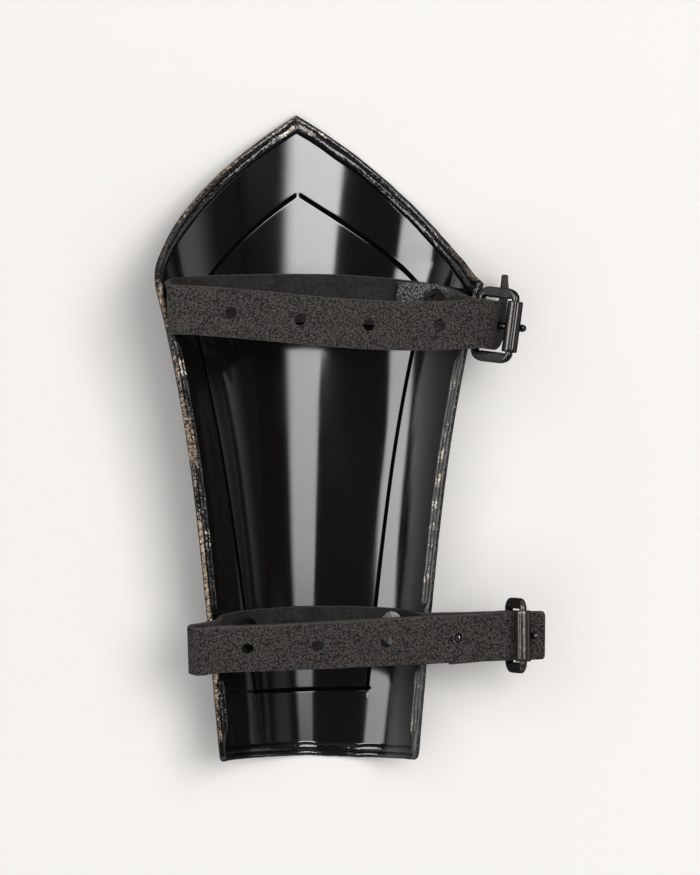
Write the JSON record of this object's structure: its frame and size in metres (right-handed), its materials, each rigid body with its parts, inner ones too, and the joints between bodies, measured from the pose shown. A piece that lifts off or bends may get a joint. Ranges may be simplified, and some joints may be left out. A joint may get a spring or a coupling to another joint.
{
  "type": "steel bracer",
  "caption": "Forearm bracer of bent black-lacquered sheet steel with a pointed elbow end, folded edges and buckled leather straps across its open side.",
  "frame": {"origin": "centre of the whole object's box, at its base", "axes": "+Y towards the pointed elbow end, +Z out of the open, strapped side, buckles at +X"},
  "size_m": [0.1482, 0.2526, 0.0685],
  "materials": {
    "black_lacquered_steel": "gloss black lacquer over steel, worn brown and bare along the hammered edge",
    "black_leather": "pebbled charcoal grain outside, dull suede flesh side",
    "dark_steel": "dark gunmetal plating with bright worn highlights"
  },
  "bodies": {
    "root": {"plate": "black_lacquered_steel", "upper_strap": "black_leather", "lower_strap": "black_leather", "rivet_upper_left": "dark_steel", "rivet_upper_right": "dark_steel", "rivet_lower_left": "dark_steel", "rivet_lower_right": "dark_steel", "rivet_lower_fold": "dark_steel", "buckle_upper_frame": "dark_steel", "buckle_upper_roller": "dark_steel", "buckle_upper_prong": "dark_steel", "buckle_lower_frame": "dark_steel", "buckle_lower_roller": "dark_steel", "buckle_lower_prong": "dark_steel"}
  },
  "joints": []
}
